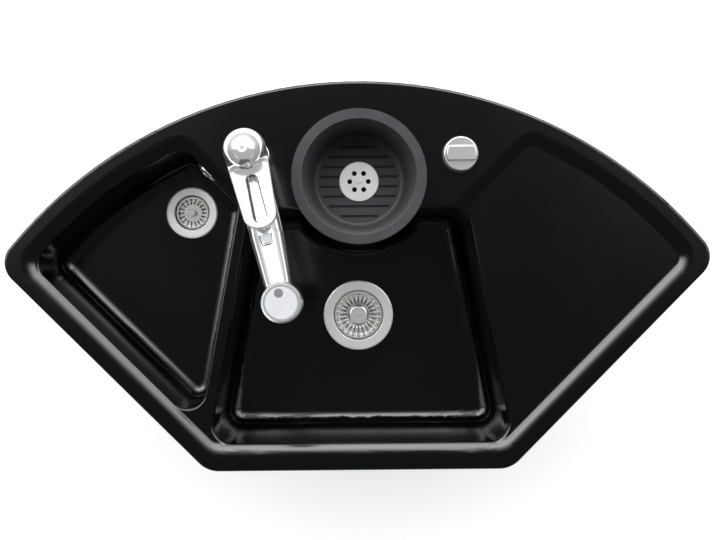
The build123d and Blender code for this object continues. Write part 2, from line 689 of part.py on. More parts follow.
def main_tail():
    """Plastic tailpiece below the main waste, with a three-armed guide for the lifter and its cable."""
    collar = MAIN_BODY_R + FIT_GAP
    shelf = -MAIN_BODY_L - RUN_GAP
    cone = shelf - TAIL_WALL
    neck = cone - TAIL_CONE_H
    tail = turned(
        (0, TAIL_TOP),
        (collar + TAIL_WALL, TAIL_TOP),
        (collar + TAIL_WALL, cone, 3.0),
        (TAIL_NECK_R, neck, 3.0),
        (TAIL_NECK_R, MAIN_TAIL_END),
        (0, MAIN_TAIL_END),
    )
    hollow = turned(
        (0, TAIL_TOP),
        (collar, TAIL_TOP),
        (collar, shelf),
        (MAIN_BODY_R - TAIL_WALL, shelf),
        (MAIN_BODY_R - TAIL_WALL, cone, 2.0),
        (TAIL_INNER_R, neck, 3.0),
        (TAIL_INNER_R, MAIN_TAIL_END),
        (0, MAIN_TAIL_END),
    )
    low, high = -SPIDER_DROP - SPIDER_H / 2, -SPIDER_DROP + SPIDER_H / 2
    cable = Plane(origin=(0, 0, -SPIDER_DROP), x_dir=(0, 1, 0), z_dir=(1, 0, 0))
    guide = disc(SPIDER_HUB_R, low, high) + cable * disc(CHANNEL_R, 0, GLAND_BOSS_END - GLAND_GRIP)
    for arm in around(3, Pos(0, 0, low) * Box(GLAND_BOSS_END, SPIDER_ARM_W, SPIDER_H, align=ARM)):
        guide += arm
    body = (tail + cable * disc(GLAND_BOSS_R, TAIL_NECK_R, GLAND_BOSS_END)) - hollow + (guide & tail)
    body -= cable * disc(GLAND_BORE_R, 0, GLAND_BOSS_END)
    body -= cable * disc(GLAND_R + FIT_GAP, GLAND_BOSS_END - GLAND_GRIP, GLAND_BOSS_END)
    return Rot(0, 0, CABLE_TURN) * (body - disc(LIFTER_R + RUN_GAP, low, high))


def gland(place, reach):
    """Hollow cable gland: threaded end, six-sided head from reach outwards, and a slim tail."""
    screw = disc(GLAND_R, reach - GLAND_GRIP, reach)
    head = prism(RegularPolygon(GLAND_HEAD_R, 6), reach, reach + GLAND_HEAD_T)
    tail = disc(GLAND_R * 0.7, reach, reach + GLAND_L)
    return place * (screw + head + tail - disc(GLAND_BORE_R, reach - GLAND_GRIP, reach + GLAND_L))


def lifter_gland():
    place = Plane(origin=(0, 0, -SPIDER_DROP), x_dir=(0, 1, 0), z_dir=(1, 0, 0))
    return Rot(0, 0, CABLE_TURN) * gland(place, GLAND_BOSS_END)


def lifter_pin():
    top = MAIN_LIP_Z - STEM_FOOT_T - RUN_GAP
    return disc(LIFTER_R, top - LIFTER_L, top) + disc(LIFTER_R * 1.5, top - LIFTER_HEAD_T, top)


def branch_frame(z):
    """Plane on the main waste's axis with Z level, towards the half bowl's waste."""
    return Plane(origin=(0, 0, z), x_dir=(0, 0, 1), z_dir=BRANCH_DIR)


def main_tee():
    """Outlet tee: socket on the tailpiece, branch from the half bowl, spigot to the trap."""
    socket = TAIL_NECK_R + FIT_GAP
    shelf = MAIN_TAIL_END - RUN_GAP
    tee = turned(
        (0, TEE_TOP),
        (socket + SOCKET_WALL, TEE_TOP),
        (socket + SOCKET_WALL, shelf - TEE_WALL, 2.0),
        (TEE_R, shelf - 2 * TEE_WALL, 2.0),
        (TEE_R, TEE_END + SPIGOT_L),
        (SPIGOT_R, TEE_END + SPIGOT_L),
        (SPIGOT_R, TEE_END),
        (0, TEE_END),
    )
    frame = branch_frame(BRANCH_Z)
    tee += frame * disc(PIPE_R + TEE_WALL / 2, 0, BRANCH_L)
    tee += frame * disc(SOCKET_R, BRANCH_L - SOCKET_L - TEE_WALL, BRANCH_L)
    tee -= disc(SPIGOT_R - TEE_WALL, TEE_END, TEE_TOP) + disc(socket, shelf, TEE_TOP)
    tee -= frame * disc(PIPE_R - PIPE_WALL, 0, BRANCH_L)
    return tee - frame * disc(PIPE_R + PIPE_GAP, BRANCH_L - SOCKET_L, BRANCH_L)


def slip_nut():
    """Nut over the mouth, at Z = 0, of a socket."""
    grip = SOCKET_R + FIT_GAP
    rim = grip + SLIP_NUT_WALL
    low, high = -SLIP_NUT_T + SLIP_SEAL_T, SLIP_SEAL_T + SLIP_LIP_T
    nut = disc(rim, low, high)
    for lug in around(SLIP_LUGS, Pos(rim, 0, low) * Box(LUG_L / 2, LUG_W, high - low, align=LEVEL)):
        nut += lug
    return nut - disc(grip, low, SLIP_SEAL_T) - disc(PIPE_R + PIPE_GAP, low, high)


def slip_seal():
    return ring(SOCKET_R, PIPE_R + FIT_GAP, 0, SLIP_SEAL_T)


def half_tail():
    """Plastic cup below the half bowl's waste, with the overflow's inlet and an outlet socket."""
    collar = HALF_BODY_R + FIT_GAP
    shelf = -HALF_BODY_L - RUN_GAP
    chamber = HALF_BODY_R - TAIL_WALL / 2
    tail = turned(
        (collar, TAIL_TOP),
        (collar + TAIL_WALL, TAIL_TOP),
        (collar + TAIL_WALL, HALF_CUP_END + TAIL_WALL, 3.0),
        (SOCKET_R, HALF_CUP_END - TAIL_WALL, 2.0),
        (SOCKET_R, HALF_TAIL_END),
        (PIPE_R + PIPE_GAP, HALF_TAIL_END),
        (PIPE_R + PIPE_GAP, HALF_TAIL_END + SOCKET_L),
        (PIPE_R - PIPE_WALL, HALF_TAIL_END + SOCKET_L),
        (PIPE_R - PIPE_WALL, HALF_CUP_END + TAIL_WALL),
        (chamber, HALF_CUP_END + 2 * TAIL_WALL),
        (chamber, shelf),
        (collar, shelf),
    )
    frame = Plane(origin=(0, 0, OVERFLOW_IN_Z), x_dir=(0, 0, 1), z_dir=overflow_run())
    tail += frame * disc(OVERFLOW_SOCKET_R, chamber + 1, OVERFLOW_IN_L)
    tail -= frame * disc(OVERFLOW_PIPE_R - OVERFLOW_PIPE_WALL, 0, OVERFLOW_IN_L)
    socket = disc(OVERFLOW_PIPE_R + PIPE_GAP, OVERFLOW_IN_L - OVERFLOW_SOCKET_L, OVERFLOW_IN_L)
    return tail - frame * socket


def connecting_pipe():
    """Waste pipe from the half bowl's tailpiece down and across to the tee."""
    start = Vector(HALF_WASTE_X, HALF_WASTE_Y, HALF_FLOOR_Z + HALF_TAIL_END + SOCKET_L - PIPE_END_GAP)
    level = MAIN_FLOOR_Z + BRANCH_Z
    turn = Vector(HALF_WASTE_X, HALF_WASTE_Y, level)
    reach = BRANCH_L - SOCKET_L + PIPE_END_GAP
    end = Vector(MAIN_WASTE_X, MAIN_WASTE_Y, level) + BRANCH_DIR * reach
    return tube([start, turn, end], PIPE_BEND_R, PIPE_R, PIPE_R - PIPE_WALL)


# --- overflow ---------------------------------------------------------------------------------------
def overflow_axis():
    """Where the overflow's downpipe stands, behind the half bowl's wall."""
    wall = overflow_wall()
    return wall.origin - Vector(wall.z_dir.X, wall.z_dir.Y, 0) * (WALL + OVERFLOW_REACH)


def overflow_run():
    """Level direction from the half bowl's waste to the overflow's downpipe."""
    foot = overflow_axis() - Vector(HALF_WASTE_X, HALF_WASTE_Y, 0)
    return Vector(foot.X, foot.Y, 0).normalized()


def overflow_rosette():
    """Domed chrome cover over the overflow hole, slotted in a ring."""
    cover = turned(
        (ROSETTE_HOLE_R, 0),
        (ROSETTE_R, 0),
        (ROSETTE_R, ROSETTE_H * 0.3),
        (ROSETTE_R * 0.66, ROSETTE_H, 4.0),
        (ROSETTE_HOLE_R, ROSETTE_H),
    )
    slot = Box(ROSETTE_SLOT_L, ROSETTE_SLOT_W, 3 * ROSETTE_H)
    return overflow_wall() * (cover - around(ROSETTE_SLOTS, Pos(ROSETTE_R * 0.55, 0, 0) * slot))


def overflow_screw():
    reach = -WALL - OVERFLOW_SEAL_T - OVERFLOW_FLANGE_T
    head = fillet(disc(2 * ROSETTE_HOLE_R, ROSETTE_H, ROSETTE_H + 1.4).edges().group_by(Axis.Z)[-1], 1.0)
    return overflow_wall() * (head + disc(ROSETTE_HOLE_R - FIT_GAP, reach, ROSETTE_H))


def overflow_seal():
    return overflow_wall() * ring(OVERFLOW_FLANGE_R, OVERFLOW_HOLE_R, -WALL - OVERFLOW_SEAL_T, -WALL)


def overflow_elbow():
    """Plastic elbow behind the wall: flange with a bridge for the screw, and a leg down to the pipe."""
    back = -WALL - OVERFLOW_SEAL_T
    front = overflow_wall()
    flange = disc(OVERFLOW_FLANGE_R, back - OVERFLOW_FLANGE_T, back)
    throat = disc(OVERFLOW_SOCKET_R, -WALL - OVERFLOW_REACH, back)
    axis = overflow_axis()
    leg = Pos(axis.X, axis.Y, axis.Z) * disc(OVERFLOW_SOCKET_R, -OVERFLOW_LEG, OVERFLOW_SOCKET_R)
    bore = OVERFLOW_PIPE_R - OVERFLOW_PIPE_WALL
    bridge = Pos(0, 0, back - OVERFLOW_FLANGE_T) * Box(
        2 * OVERFLOW_SOCKET_R, BRIDGE_W, OVERFLOW_FLANGE_T, align=LEVEL
    )
    way = disc(bore, -WALL - OVERFLOW_REACH, back) - bridge
    elbow = front * (flange + throat) + leg
    elbow -= front * (way + disc(ROSETTE_HOLE_R, back - OVERFLOW_FLANGE_T, back))
    elbow -= Pos(axis.X, axis.Y, axis.Z) * disc(bore, -OVERFLOW_LEG, bore)
    socket = disc(OVERFLOW_PIPE_R + PIPE_GAP, -OVERFLOW_LEG, OVERFLOW_SOCKET_L - OVERFLOW_LEG)
    return elbow - Pos(axis.X, axis.Y, axis.Z) * socket


def overflow_pipe():
    """Small pipe from the elbow down and across to the half bowl's tailpiece."""
    axis = overflow_axis()
    level = HALF_FLOOR_Z + OVERFLOW_IN_Z
    start = Vector(axis.X, axis.Y, axis.Z - OVERFLOW_LEG + OVERFLOW_SOCKET_L - PIPE_END_GAP)
    reach = OVERFLOW_IN_L - OVERFLOW_SOCKET_L + PIPE_END_GAP
    end = Vector(HALF_WASTE_X, HALF_WASTE_Y, level) + overflow_run() * reach
    points = [start, Vector(axis.X, axis.Y, level), end]
    return tube(points, OVERFLOW_BEND_R, OVERFLOW_PIPE_R, OVERFLOW_PIPE_R - OVERFLOW_PIPE_WALL)


# --- tap: X forward along the spout, Z up from the deck ---------------------------------------------
def at_tap(shape):
    forward = (sin(radians(TAP_TURN)), -cos(radians(TAP_TURN)), 0)
    return Plane(origin=(-DECK_HOLE_X, DECK_HOLE_Y, RIM_TOP), x_dir=forward, z_dir=(0, 0, 1)) * shape


def on_spout(shape):
    """Z along the spout's axis and X square to it, upwards."""
    rise = radians(SPOUT_RISE)
    x_dir = (-sin(rise), 0, cos(rise))
    z_dir = (cos(rise), 0, sin(rise))
    return Plane(origin=(0, 0, SPOUT_Z0), x_dir=x_dir, z_dir=z_dir) * shape


def spout_top(x):
    """Height of the spout's upper line, or of its straight extension, over a point of the X axis."""
    return SPOUT_Z0 + x * tan(radians(SPOUT_RISE)) + SPOUT_R / cos(radians(SPOUT_RISE))


def tap_base():
    """Chrome foot ring with the spigot that the body turns on."""
    return turned(
        (SHANK_R + FIT_GAP, DECK_SEAL_T),
        (TAP_BASE_R, DECK_SEAL_T),
        (TAP_BASE_R, TAP_BASE_TOP, 2.0),
        (TAP_SPIGOT_R, TAP_BASE_TOP),
        (TAP_SPIGOT_R, TAP_SPIGOT_TOP),
        (SHANK_BORE_R, TAP_SPIGOT_TOP),
        (SHANK_BORE_R, SHANK_TOP + RUN_GAP),
        (SHANK_R + FIT_GAP, SHANK_TOP + RUN_GAP),
    )


def tap_bush():
    inner = TAP_SPIGOT_R + RUN_GAP
    return ring(inner + TAP_BUSH_T, inner, TAP_BASE_TOP + RUN_GAP, TAP_SPIGOT_TOP - 1)


def tap_body():
    """Upright column and rising spout of one casting, bored for the cartridge, the foot and the dock."""
    column = disc(TAP_COLUMN_R, TAP_BASE_TOP + RUN_GAP, TAP_COLUMN_TOP)
    column = fillet(column.edges().group_by(Axis.Z)[-1], TAP_COLUMN_EDGE_R)
    spout = on_spout(disc(SPOUT_R, 0, SEAM_S))
    body = column + spout
    under = [e for e in body.edges() if e.geom_type not in (GeomType.CIRCLE, GeomType.LINE)]
    body = fillet([e for e in under if (e @ 0.5).Z < SPOUT_Z0], SPOUT_BLEND_R)
    body -= disc(TAP_SPIGOT_R + 2 * RUN_GAP + TAP_BUSH_T, 0, TAP_SPIGOT_TOP + 1)
    body -= Pos(PIVOT_X, 0) * disc(CARTRIDGE_R + FIT_GAP, TAP_COLUMN_TOP - CARTRIDGE_L, TAP_COLUMN_TOP)
    body -= Pos(PIVOT_X, 0) * disc(CARTRIDGE_NUT_R + HOLE_GAP, TAP_COLUMN_TOP, spout_top(LEVER_DOME_R))
    body -= on_spout(disc(DOCK_R + FIT_GAP, SEAM_S - DOCK_L, SEAM_S))
    return body - on_spout(disc(HOSE_BORE_R, HOSE_BORE_S, SEAM_S))


def tap_cartridge():
    return Pos(PIVOT_X, 0) * disc(CARTRIDGE_R, TAP_COLUMN_TOP - CARTRIDGE_L, TAP_COLUMN_TOP)


def cartridge_nut():
    nut = disc(CARTRIDGE_NUT_R, TAP_COLUMN_TOP, TAP_COLUMN_TOP + CARTRIDGE_NUT_T)
    nut = chamfer(nut.edges().group_by(Axis.Z)[-1], 1.0)
    nut -= disc(SPINDLE_R + RUN_GAP, TAP_COLUMN_TOP, TAP_COLUMN_TOP + CARTRIDGE_NUT_T)
    return Pos(PIVOT_X, 0) * nut


def cross_hole(radius, length):
    """Cylinder along the lever's tilting axis."""
    return Pos(PIVOT_X, 0, PIVOT_Z) * Rot(90, 0, 0) * Cylinder(radius, length)


def lever_spindle():
    """Turning top of the cartridge, with the post that the lever is hinged on."""
    low, top = TAP_COLUMN_TOP + RUN_GAP, TAP_COLUMN_TOP + SPINDLE_DISC_T
    post = Pos(0, 0, top) * Box(POST_D, POST_W, POST_TOP - top, align=LEVEL)
    return Pos(PIVOT_X, 0) * (disc(SPINDLE_R, low, top) + post) - cross_hole(PIN_R + FIT_GAP, PIN_L)


def lever_pin():
    return cross_hole(PIN_R, PIN_L)


def lever_plate():
    """Sloping slab over the spout with rounded edges and a long slot."""
    high = 2 * LEVER_REACH
    under = [(x, spout_top(x) + LEVER_GAP) for x in (-LEVER_DOME_R, LEVER_REACH + 1)]
    over = [(x, z + LEVER_T / cos(radians(SPOUT_RISE))) for x, z in reversed(under)]
    band = Plane.XZ * make_face(Polyline(*under, *over, close=True))
    plan = hull_of_circles(PIVOT_X, LEVER_DOME_R, LEVER_REACH - LEVER_TIP_R, LEVER_TIP_R)
    plate = extrude(band, LEVER_DOME_R + 1, both=True) & prism(plan, 0, high)
    plate = fillet([e for e in plate.edges() if abs((e % 0.5).Z) < 0.9], LEVER_EDGE_R)
    slot = hull_of_circles(SLOT_BACK + SLOT_BACK_R, SLOT_BACK_R, SLOT_FRONT - SLOT_FRONT_R, SLOT_FRONT_R)
    plate -= prism(slot, 0, high)
    level = [e for e in plate.edges() if abs((e % 0.5).Z) < 0.9]
    rims = [e for e in level if SLOT_BACK - 1 < (e @ 0.5).X < SLOT_FRONT + 1]
    return chamfer([e for e in rims if abs((e @ 0.5).Y) < SLOT_FRONT_R + 1], SLOT_BEVEL)


def lever():
    """Loop lever: a hollow dome over the cartridge, running out into the slotted plate."""
    base = DOME_Z - LEVER_SKIRT
    place = Pos(PIVOT_X, 0)
    plate = lever_plate() & prism(Rectangle(4 * LEVER_REACH, 4 * LEVER_REACH), base, 2 * LEVER_REACH)
    body = plate + place * dome(LEVER_DOME_R, base)
    front = [e for e in body.edges() if (e @ 0.5).X > LEVER_DOME_R and (e @ 0.5).Z > DOME_Z + 1]
    round_edges = [e for e in front if e.geom_type == GeomType.CIRCLE]
    seam = [e for e in round_edges if abs((e @ 0).X - PIVOT_X) < LEVER_DOME_R]
    body = fillet(seam, LEVER_BLEND_R) - place * dome(LEVER_DOME_R - LEVER_WALL, base)
    bulk = place * dome(LEVER_DOME_R - 1, base)
    for side in (-1, 1):
        cheek = Box(CHEEK_D, CHEEK_W, LEVER_DOME_R, align=LEVEL)
        across = side * (POST_W / 2 + CHEEK_GAP + CHEEK_W / 2)
        body += (Pos(PIVOT_X, across, PIVOT_Z - CHEEK_D / 2) * cheek) & bulk
    return body - cross_hole(PIN_R + RUN_GAP, PIN_L)


def dome(radius, base):
    """Half ball over a short cylinder that starts at the height base."""
    half_ball = Pos(0, 0, DOME_Z) * (Sphere(radius) & disc(radius, 0, radius))
    return Rot(0, 0, 180) * (half_ball + disc(radius, base, DOME_Z))


def dock_bush():
    return on_spout(ring(DOCK_R, DOCK_R - DOCK_BUSH_T, SEAM_S - DOCK_L, SEAM_S - SEAM_GAP))


def key_prism(grow, low, high):
    """Tapering plan of the spray's switch key, pushed square to the spout from low to high."""
    start, end = KEY_S - grow, KEY_S + KEY_L + grow
    wide, narrow = KEY_WIDE / 2 + grow, KEY_NARROW / 2 + grow
    plan = make_face(Polyline((start, -wide), (start, wide), (end, narrow), (end, -narrow), close=True))
    plan = fillet(plan.vertices(), KEY_CORNER_R + grow)
    across = Plane(origin=(low, 0, 0), x_dir=(0, 0, 1), z_dir=(1, 0, 0))
    return on_spout(across * extrude(plan, high - low))


def spray_body():
    """Tapering handle and upright head of the pull-out spray, in one shell."""
    foot = SEAM_S + SEAM_GAP
    length = HEAD_REACH / cos(radians(SPOUT_RISE)) - foot
    taper = (SPOUT_R - SPOUT_END_R) / (length - HEAD_R)
    handle = Cone(SPOUT_R, SPOUT_R - taper * length, length, align=LEVEL)
    head = disc(HEAD_R, HEAD_BOTTOM, HEAD_TOP)
    head = chamfer(head.edges().group_by(Axis.Z)[-1], HEAD_BEVEL)
    head = fillet(head.edges().group_by(Axis.Z)[0], 1.5)
    body = on_spout(Pos(0, 0, foot) * handle) + Pos(HEAD_REACH, 0) * head
    seam = [e for e in body.edges() if e.geom_type not in (GeomType.CIRCLE, GeomType.LINE)]
    body = fillet(seam, HEAD_BLEND_R)
    hollow = disc(HEAD_CAP_R + FIT_GAP, HEAD_TOP - HEAD_CAP_T, HEAD_TOP)
    hollow += disc(NOZZLE_R + FIT_GAP, HEAD_BOTTOM, HEAD_BOTTOM + NOZZLE_T)
    hollow += disc(CHAMBER_R, HEAD_BOTTOM, HEAD_BOTTOM + NOZZLE_T + CHAMBER_H)
    body -= Pos(HEAD_REACH, 0) * hollow
    body -= on_spout(disc(NIPPLE_R + FIT_GAP, SEAM_S, SEAM_S + NIPPLE_L))
    return body - key_prism(KEY_GAP, KEY_FLOOR, 2 * SPOUT_R)


def spray_nipple():
    """Hose end of the spray, with the collar that centres it in the dock."""
    collar = DOCK_R - DOCK_BUSH_T - RUN_GAP
    back, front = SEAM_S - DOCK_L + PIPE_END_GAP, SEAM_S + NIPPLE_L
    stem = disc(NIPPLE_R, back, front) + disc(collar, SEAM_S - NIPPLE_L, SEAM_S - SEAM_GAP)
    return on_spout(stem - disc(NIPPLE_BORE_R, back, front))


def switch_key():
    """Push key on top of the spray's handle, standing a little proud of it."""
    return key_prism(0, KEY_FLOOR + KEY_TRAVEL + RUN_GAP, SPOUT_R + KEY_PROUD)


def head_cap():
    cap = disc(HEAD_CAP_R, HEAD_TOP - HEAD_CAP_T, HEAD_TOP)
    cap = chamfer(cap.edges().group_by(Axis.Z)[-1], 0.5)
    cap -= Pos(-INLAY_BACK, 0) * disc(INLAY_R + FIT_GAP, HEAD_TOP - INLAY_T, HEAD_TOP)
    return Pos(HEAD_REACH, 0) * cap


def head_inlay():
    return Pos(HEAD_REACH - INLAY_BACK, 0) * disc(INLAY_R, HEAD_TOP - INLAY_T, HEAD_TOP)


def nozzle_plate():
    """Spray face under the head: a ring of small jets round the middle outlet."""
    plate = disc(NOZZLE_R, HEAD_BOTTOM, HEAD_BOTTOM + NOZZLE_T)
    plate -= disc(NOZZLE_MID_R, HEAD_BOTTOM, HEAD_BOTTOM + NOZZLE_T / 2)
    jet = disc(NOZZLE_JET_R, HEAD_BOTTOM, HEAD_BOTTOM + NOZZLE_T)
    plate -= around(NOZZLE_HOLES, Pos(NOZZLE_RING_R, 0, 0) * jet)
    return Pos(HEAD_REACH, 0) * plate


def tap_shank():
    return ring(SHANK_R, SHANK_BORE_R, SHANK_END, SHANK_TOP)


def deck_washer(inner):
    """Slotted washer that is slipped round the shank from the side."""
    plate = ring(DECK_WASHER_R, inner + HOLE_GAP, -RIM_T - DECK_WASHER_T, -RIM_T)
    gate = Box(DECK_WASHER_R, 2 * (inner + HOLE_GAP), DECK_WASHER_T, align=ARM)
    return plate - Pos(0, 0, -RIM_T - DECK_WASHER_T) * gate


def deck_nut(inner):
    top = -RIM_T - DECK_WASHER_T
    return hex_ring(DECK_NUT_R, inner + FIT_GAP, top - DECK_NUT_T, top)


# --- waste knob: heights from the deck --------------------------------------------------------------
def at_knob(shape):
    return Pos(DECK_HOLE_X, DECK_HOLE_Y, RIM_TOP) * shape


def knob_base():
    """Chrome collar with a threaded neck through the deck."""
    bore = KNOB_SPINDLE_R + RUN_GAP
    return turned(
        (bore, KNOB_BASE_TOP),
        (KNOB_BASE_R, KNOB_BASE_TOP, 1.5),
        (KNOB_BASE_R, DECK_SEAL_T),
        (SHANK_R, DECK_SEAL_T),
        (SHANK_R, KNOB_NECK_END),
        (bore, KNOB_NECK_END),
    )


def knob_cap():
    """Round handle with a raised bar across it for the fingers."""
    foot = KNOB_BASE_TOP + KNOB_GAP
    plinth = disc(KNOB_R, foot, KNOB_DISC_TOP)
    plinth = fillet(plinth.edges().group_by(Axis.Z)[-1], KNOB_EDGE_R)
    grip = disc(KNOB_R - KNOB_EDGE_R, foot + 1, KNOB_TOP) & Box(2 * KNOB_R, KNOB_BAR_W, 2 * KNOB_TOP)
    grip = fillet(grip.edges().group_by(Axis.Z)[-1], KNOB_EDGE_R)
    return plinth + grip - disc(KNOB_SPINDLE_R + FIT_GAP, foot, KNOB_SPINDLE_TOP)


def knob_spindle():
    """Shaft of the knob with the drum that winds the cable."""
    top = KNOB_NECK_END - KNOB_HOUSING_WALL - RUN_GAP
    return disc(KNOB_SPINDLE_R, top, KNOB_SPINDLE_TOP) + disc(KNOB_DRUM_R, top - KNOB_DRUM_H, top)


def knob_housing():
    """Drum case under the neck, with the outlet of the cable."""
    top = KNOB_NECK_END
    low = top - KNOB_HOUSING_H
    case = disc(KNOB_HOUSING_R, low, top) - disc(KNOB_SPINDLE_R + RUN_GAP, low + KNOB_HOUSING_WALL, top)
    case -= disc(KNOB_HOUSING_R - KNOB_HOUSING_WALL, low + KNOB_HOUSING_WALL, top - KNOB_HOUSING_WALL)
    outlet = Plane(origin=(0, 0, low + KNOB_HOUSING_H / 2), x_dir=(1, 0, 0), z_dir=(0, -1, 0))
    end = KNOB_HOUSING_R + GLAND_L / 2
    case += outlet * disc(GLAND_R, KNOB_HOUSING_R - 2, end)
    return case - outlet * disc(GLAND_BORE_R, KNOB_DRUM_R, end)


# --- insert bowl: heights from the deck -------------------------------------------------------------
def at_well(shape):
    return Pos(WELL_X, WELL_Y, RIM_TOP) * shape


def insert_bowl():
    """Grey plastic bowl hung in the well by its flat rim, with grooves in its floor."""
    floor, under = INSERT_FLOOR_Z, INSERT_FLOOR_Z - INSERT_WALL
    bowl = turned(
        (INSERT_RIM_IN_R + INSERT_WALL, 0),
        (INSERT_RIM_R, 0),
        (INSERT_RIM_R, INSERT_RIM_T, 1.0),
        (INSERT_RIM_IN_R, INSERT_RIM_T, 2.0),
        (INSERT_FLOOR_R, floor, INSERT_FLOOR_FILLET),
        (INSERT_HOLE_R, floor),
        (INSERT_HOLE_R, under),
        (INSERT_FLOOR_R + INSERT_WALL, under, INSERT_FLOOR_FILLET + INSERT_WALL),
    )
    seat = disc(GRID_R + HOLE_GAP, under, INSERT_RIM_T)
    for i in range(INSERT_GROOVES):
        y = (i - (INSERT_GROOVES - 1) / 2) * INSERT_GROOVE_PITCH
        chord = 2 * sqrt(INSERT_RIBBED_R**2 - y**2)
        bowl -= Pos(0, y, floor) * Box(chord, INSERT_GROOVE_W, 2 * INSERT_GROOVE_DEPTH) - seat
    return bowl


def insert_grid():
    """Perforated chrome waste grid with a hole for its screw."""
    low, high = INSERT_FLOOR_Z, INSERT_FLOOR_Z + GRID_T
    plate = chamfer(disc(GRID_R, low, high).edges().group_by(Axis.Z)[-1], 1.0)
    plate -= around(GRID_HOLES, Pos(GRID_PITCH_R, 0) * disc(GRID_HOLE_R, low, high))
    return plate - disc(GRID_SCREW_SHANK_R + FIT_GAP, low, high)


def insert_screw():
    low = INSERT_FLOOR_Z + GRID_T
    head = fillet(disc(GRID_SCREW_R, low, low + GRID_SCREW_H).edges().group_by(Axis.Z)[-1], 1.0)
    return head + disc(GRID_SCREW_SHANK_R, GRID_TAIL_END + 1, low)


def insert_grid_seal():
    return ring(GRID_R, INSERT_HOLE_R, GRID_SEAL_Z, GRID_SEAL_Z + GRID_SEAL_T)


def insert_tail():
    """Short outlet cup under the insert, drawn up by the grid's screw through its cross bar."""
    inner = INSERT_HOLE_R - GRID_TAIL_WALL
    cup = ring(GRID_R, inner, GRID_SEAL_Z - GRID_TAIL_WALL, GRID_SEAL_Z)
    cup += ring(INSERT_HOLE_R, inner, GRID_TAIL_END, GRID_SEAL_Z)
    bar = Box(2 * INSERT_HOLE_R - GRID_TAIL_WALL, 3 * GRID_SCREW_SHANK_R, GRID_TAIL_H / 2, align=LEVEL)
    cup += Pos(0, 0, GRID_TAIL_END) * bar
    return cup - disc(GRID_SCREW_SHANK_R + FIT_GAP, GRID_TAIL_END, GRID_SEAL_Z)


# --- the pieces -------------------------------------------------------------------------------------
os.makedirs("parts", exist_ok=True)

save("sink_body", sink_body())
save("rim_seal", rim_seal())

save("main_waste_body", at_main(waste_body(MAIN_FLANGE_R, MAIN_BODY_R, MAIN_BODY_L, MAIN_SEAT_R)))
save("main_flange_seal", at_main(flange_seal(MAIN_FLANGE_R, MAIN_BODY_R)))
save("main_under_seal", at_main(under_seal(MAIN_BODY_R)))
save("main_lock_nut", at_main(lock_nut(MAIN_BODY_R, MAIN_LUGS)))
save("main_basket", at_main(main_basket()))
save("main_basket_stem", at_main(plug_stem(MAIN_LIP_Z, MAIN_CROWN_Z, MAIN_STEM_KNOB_R, MAIN_STEM_TOP)))
save("main_basket_seal", at_main(plug_seal(MAIN_SEAT_R, MAIN_LIP_Z, MAIN_CROWN_Z - BASKET_T)))
save("main_tail", at_main(main_tail()))
save("lifter_pin", at_main(lifter_pin()))
save("lifter_gland", at_main(lifter_gland()))
save("main_tee", at_main(main_tee()))

save("half_waste_body", at_half(waste_body(HALF_FLANGE_R, HALF_BODY_R, HALF_BODY_L, HALF_SEAT_R)))
save("half_flange_seal", at_half(flange_seal(HALF_FLANGE_R, HALF_BODY_R)))
save("half_under_seal", at_half(under_seal(HALF_BODY_R)))
save("half_lock_nut", at_half(lock_nut(HALF_BODY_R, HALF_LUGS)))
save("half_plug", at_half(half_plug()))
save("half_plug_stem", at_half(plug_stem(HALF_LIP_Z, HALF_CROWN_Z, HALF_STEM_KNOB_R, HALF_STEM_TOP)))
save("half_plug_seal", at_half(plug_seal(HALF_SEAT_R, HALF_LIP_Z, HALF_CROWN_Z - BASKET_T)))
save("half_tail", at_half(half_tail()))
save("connecting_pipe", connecting_pipe())
mouths = [
    at_main(branch_frame(BRANCH_Z) * Pos(0, 0, BRANCH_L)),
    at_half(Pos(0, 0, HALF_TAIL_END) * Rot(180, 0, 0)),
]
save("slip_nuts", *[mouth * slip_nut() for mouth in mouths])
save("slip_seals", *[mouth * slip_seal() for mouth in mouths])

save("overflow_rosette", overflow_rosette())
save("overflow_screw", overflow_screw())
save("overflow_seal", overflow_seal())
save("overflow_elbow", overflow_elbow())
save("overflow_pipe", overflow_pipe())

save("tap_deck_seal", at_tap(ring(TAP_BASE_R - 1, SHANK_R + FIT_GAP, 0, DECK_SEAL_T)))
save("tap_base", at_tap(tap_base()))
save("tap_bush", at_tap(tap_bush()))
save("tap_shank", at_tap(tap_shank()))
save("tap_washer", at_tap(deck_washer(SHANK_R)))
save("tap_nut", at_tap(deck_nut(SHANK_R)))
save("tap_body", at_tap(tap_body()))
save("tap_cartridge", at_tap(tap_cartridge()))
save("cartridge_nut", at_tap(cartridge_nut()))
save("lever_spindle", at_tap(lever_spindle()))
save("lever_pin", at_tap(lever_pin()))
save("tap_lever", at_tap(lever()))
save("dock_bush", at_tap(dock_bush()))
save("spray_body", at_tap(spray_body()))
save("spray_nipple", at_tap(spray_nipple()))
save("spray_key", at_tap(switch_key()))
save("head_cap", at_tap(head_cap()))
save("head_inlay", at_tap(head_inlay()))
save("nozzle_plate", at_tap(nozzle_plate()))

save("knob_deck_seal", at_knob(ring(KNOB_BASE_R - 1, SHANK_R + FIT_GAP, 0, DECK_SEAL_T)))
save("knob_base", at_knob(knob_base()))
save("knob_washer", at_knob(deck_washer(SHANK_R)))
save("knob_nut", at_knob(deck_nut(SHANK_R)))
save("knob_cap", at_knob(knob_cap()))
save("knob_spindle", at_knob(knob_spindle()))
save("knob_housing", at_knob(knob_housing()))

save("insert_bowl", at_well(insert_bowl()))
save("insert_grid", at_well(insert_grid()))
save("insert_screw", at_well(insert_screw()))
save("insert_grid_seal", at_well(insert_grid_seal()))
save("insert_tail", at_well(insert_tail()))
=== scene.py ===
import json
import math
import bmesh
import bpy
import numpy as np
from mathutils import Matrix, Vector
from mathutils.bvhtree import BVHTree

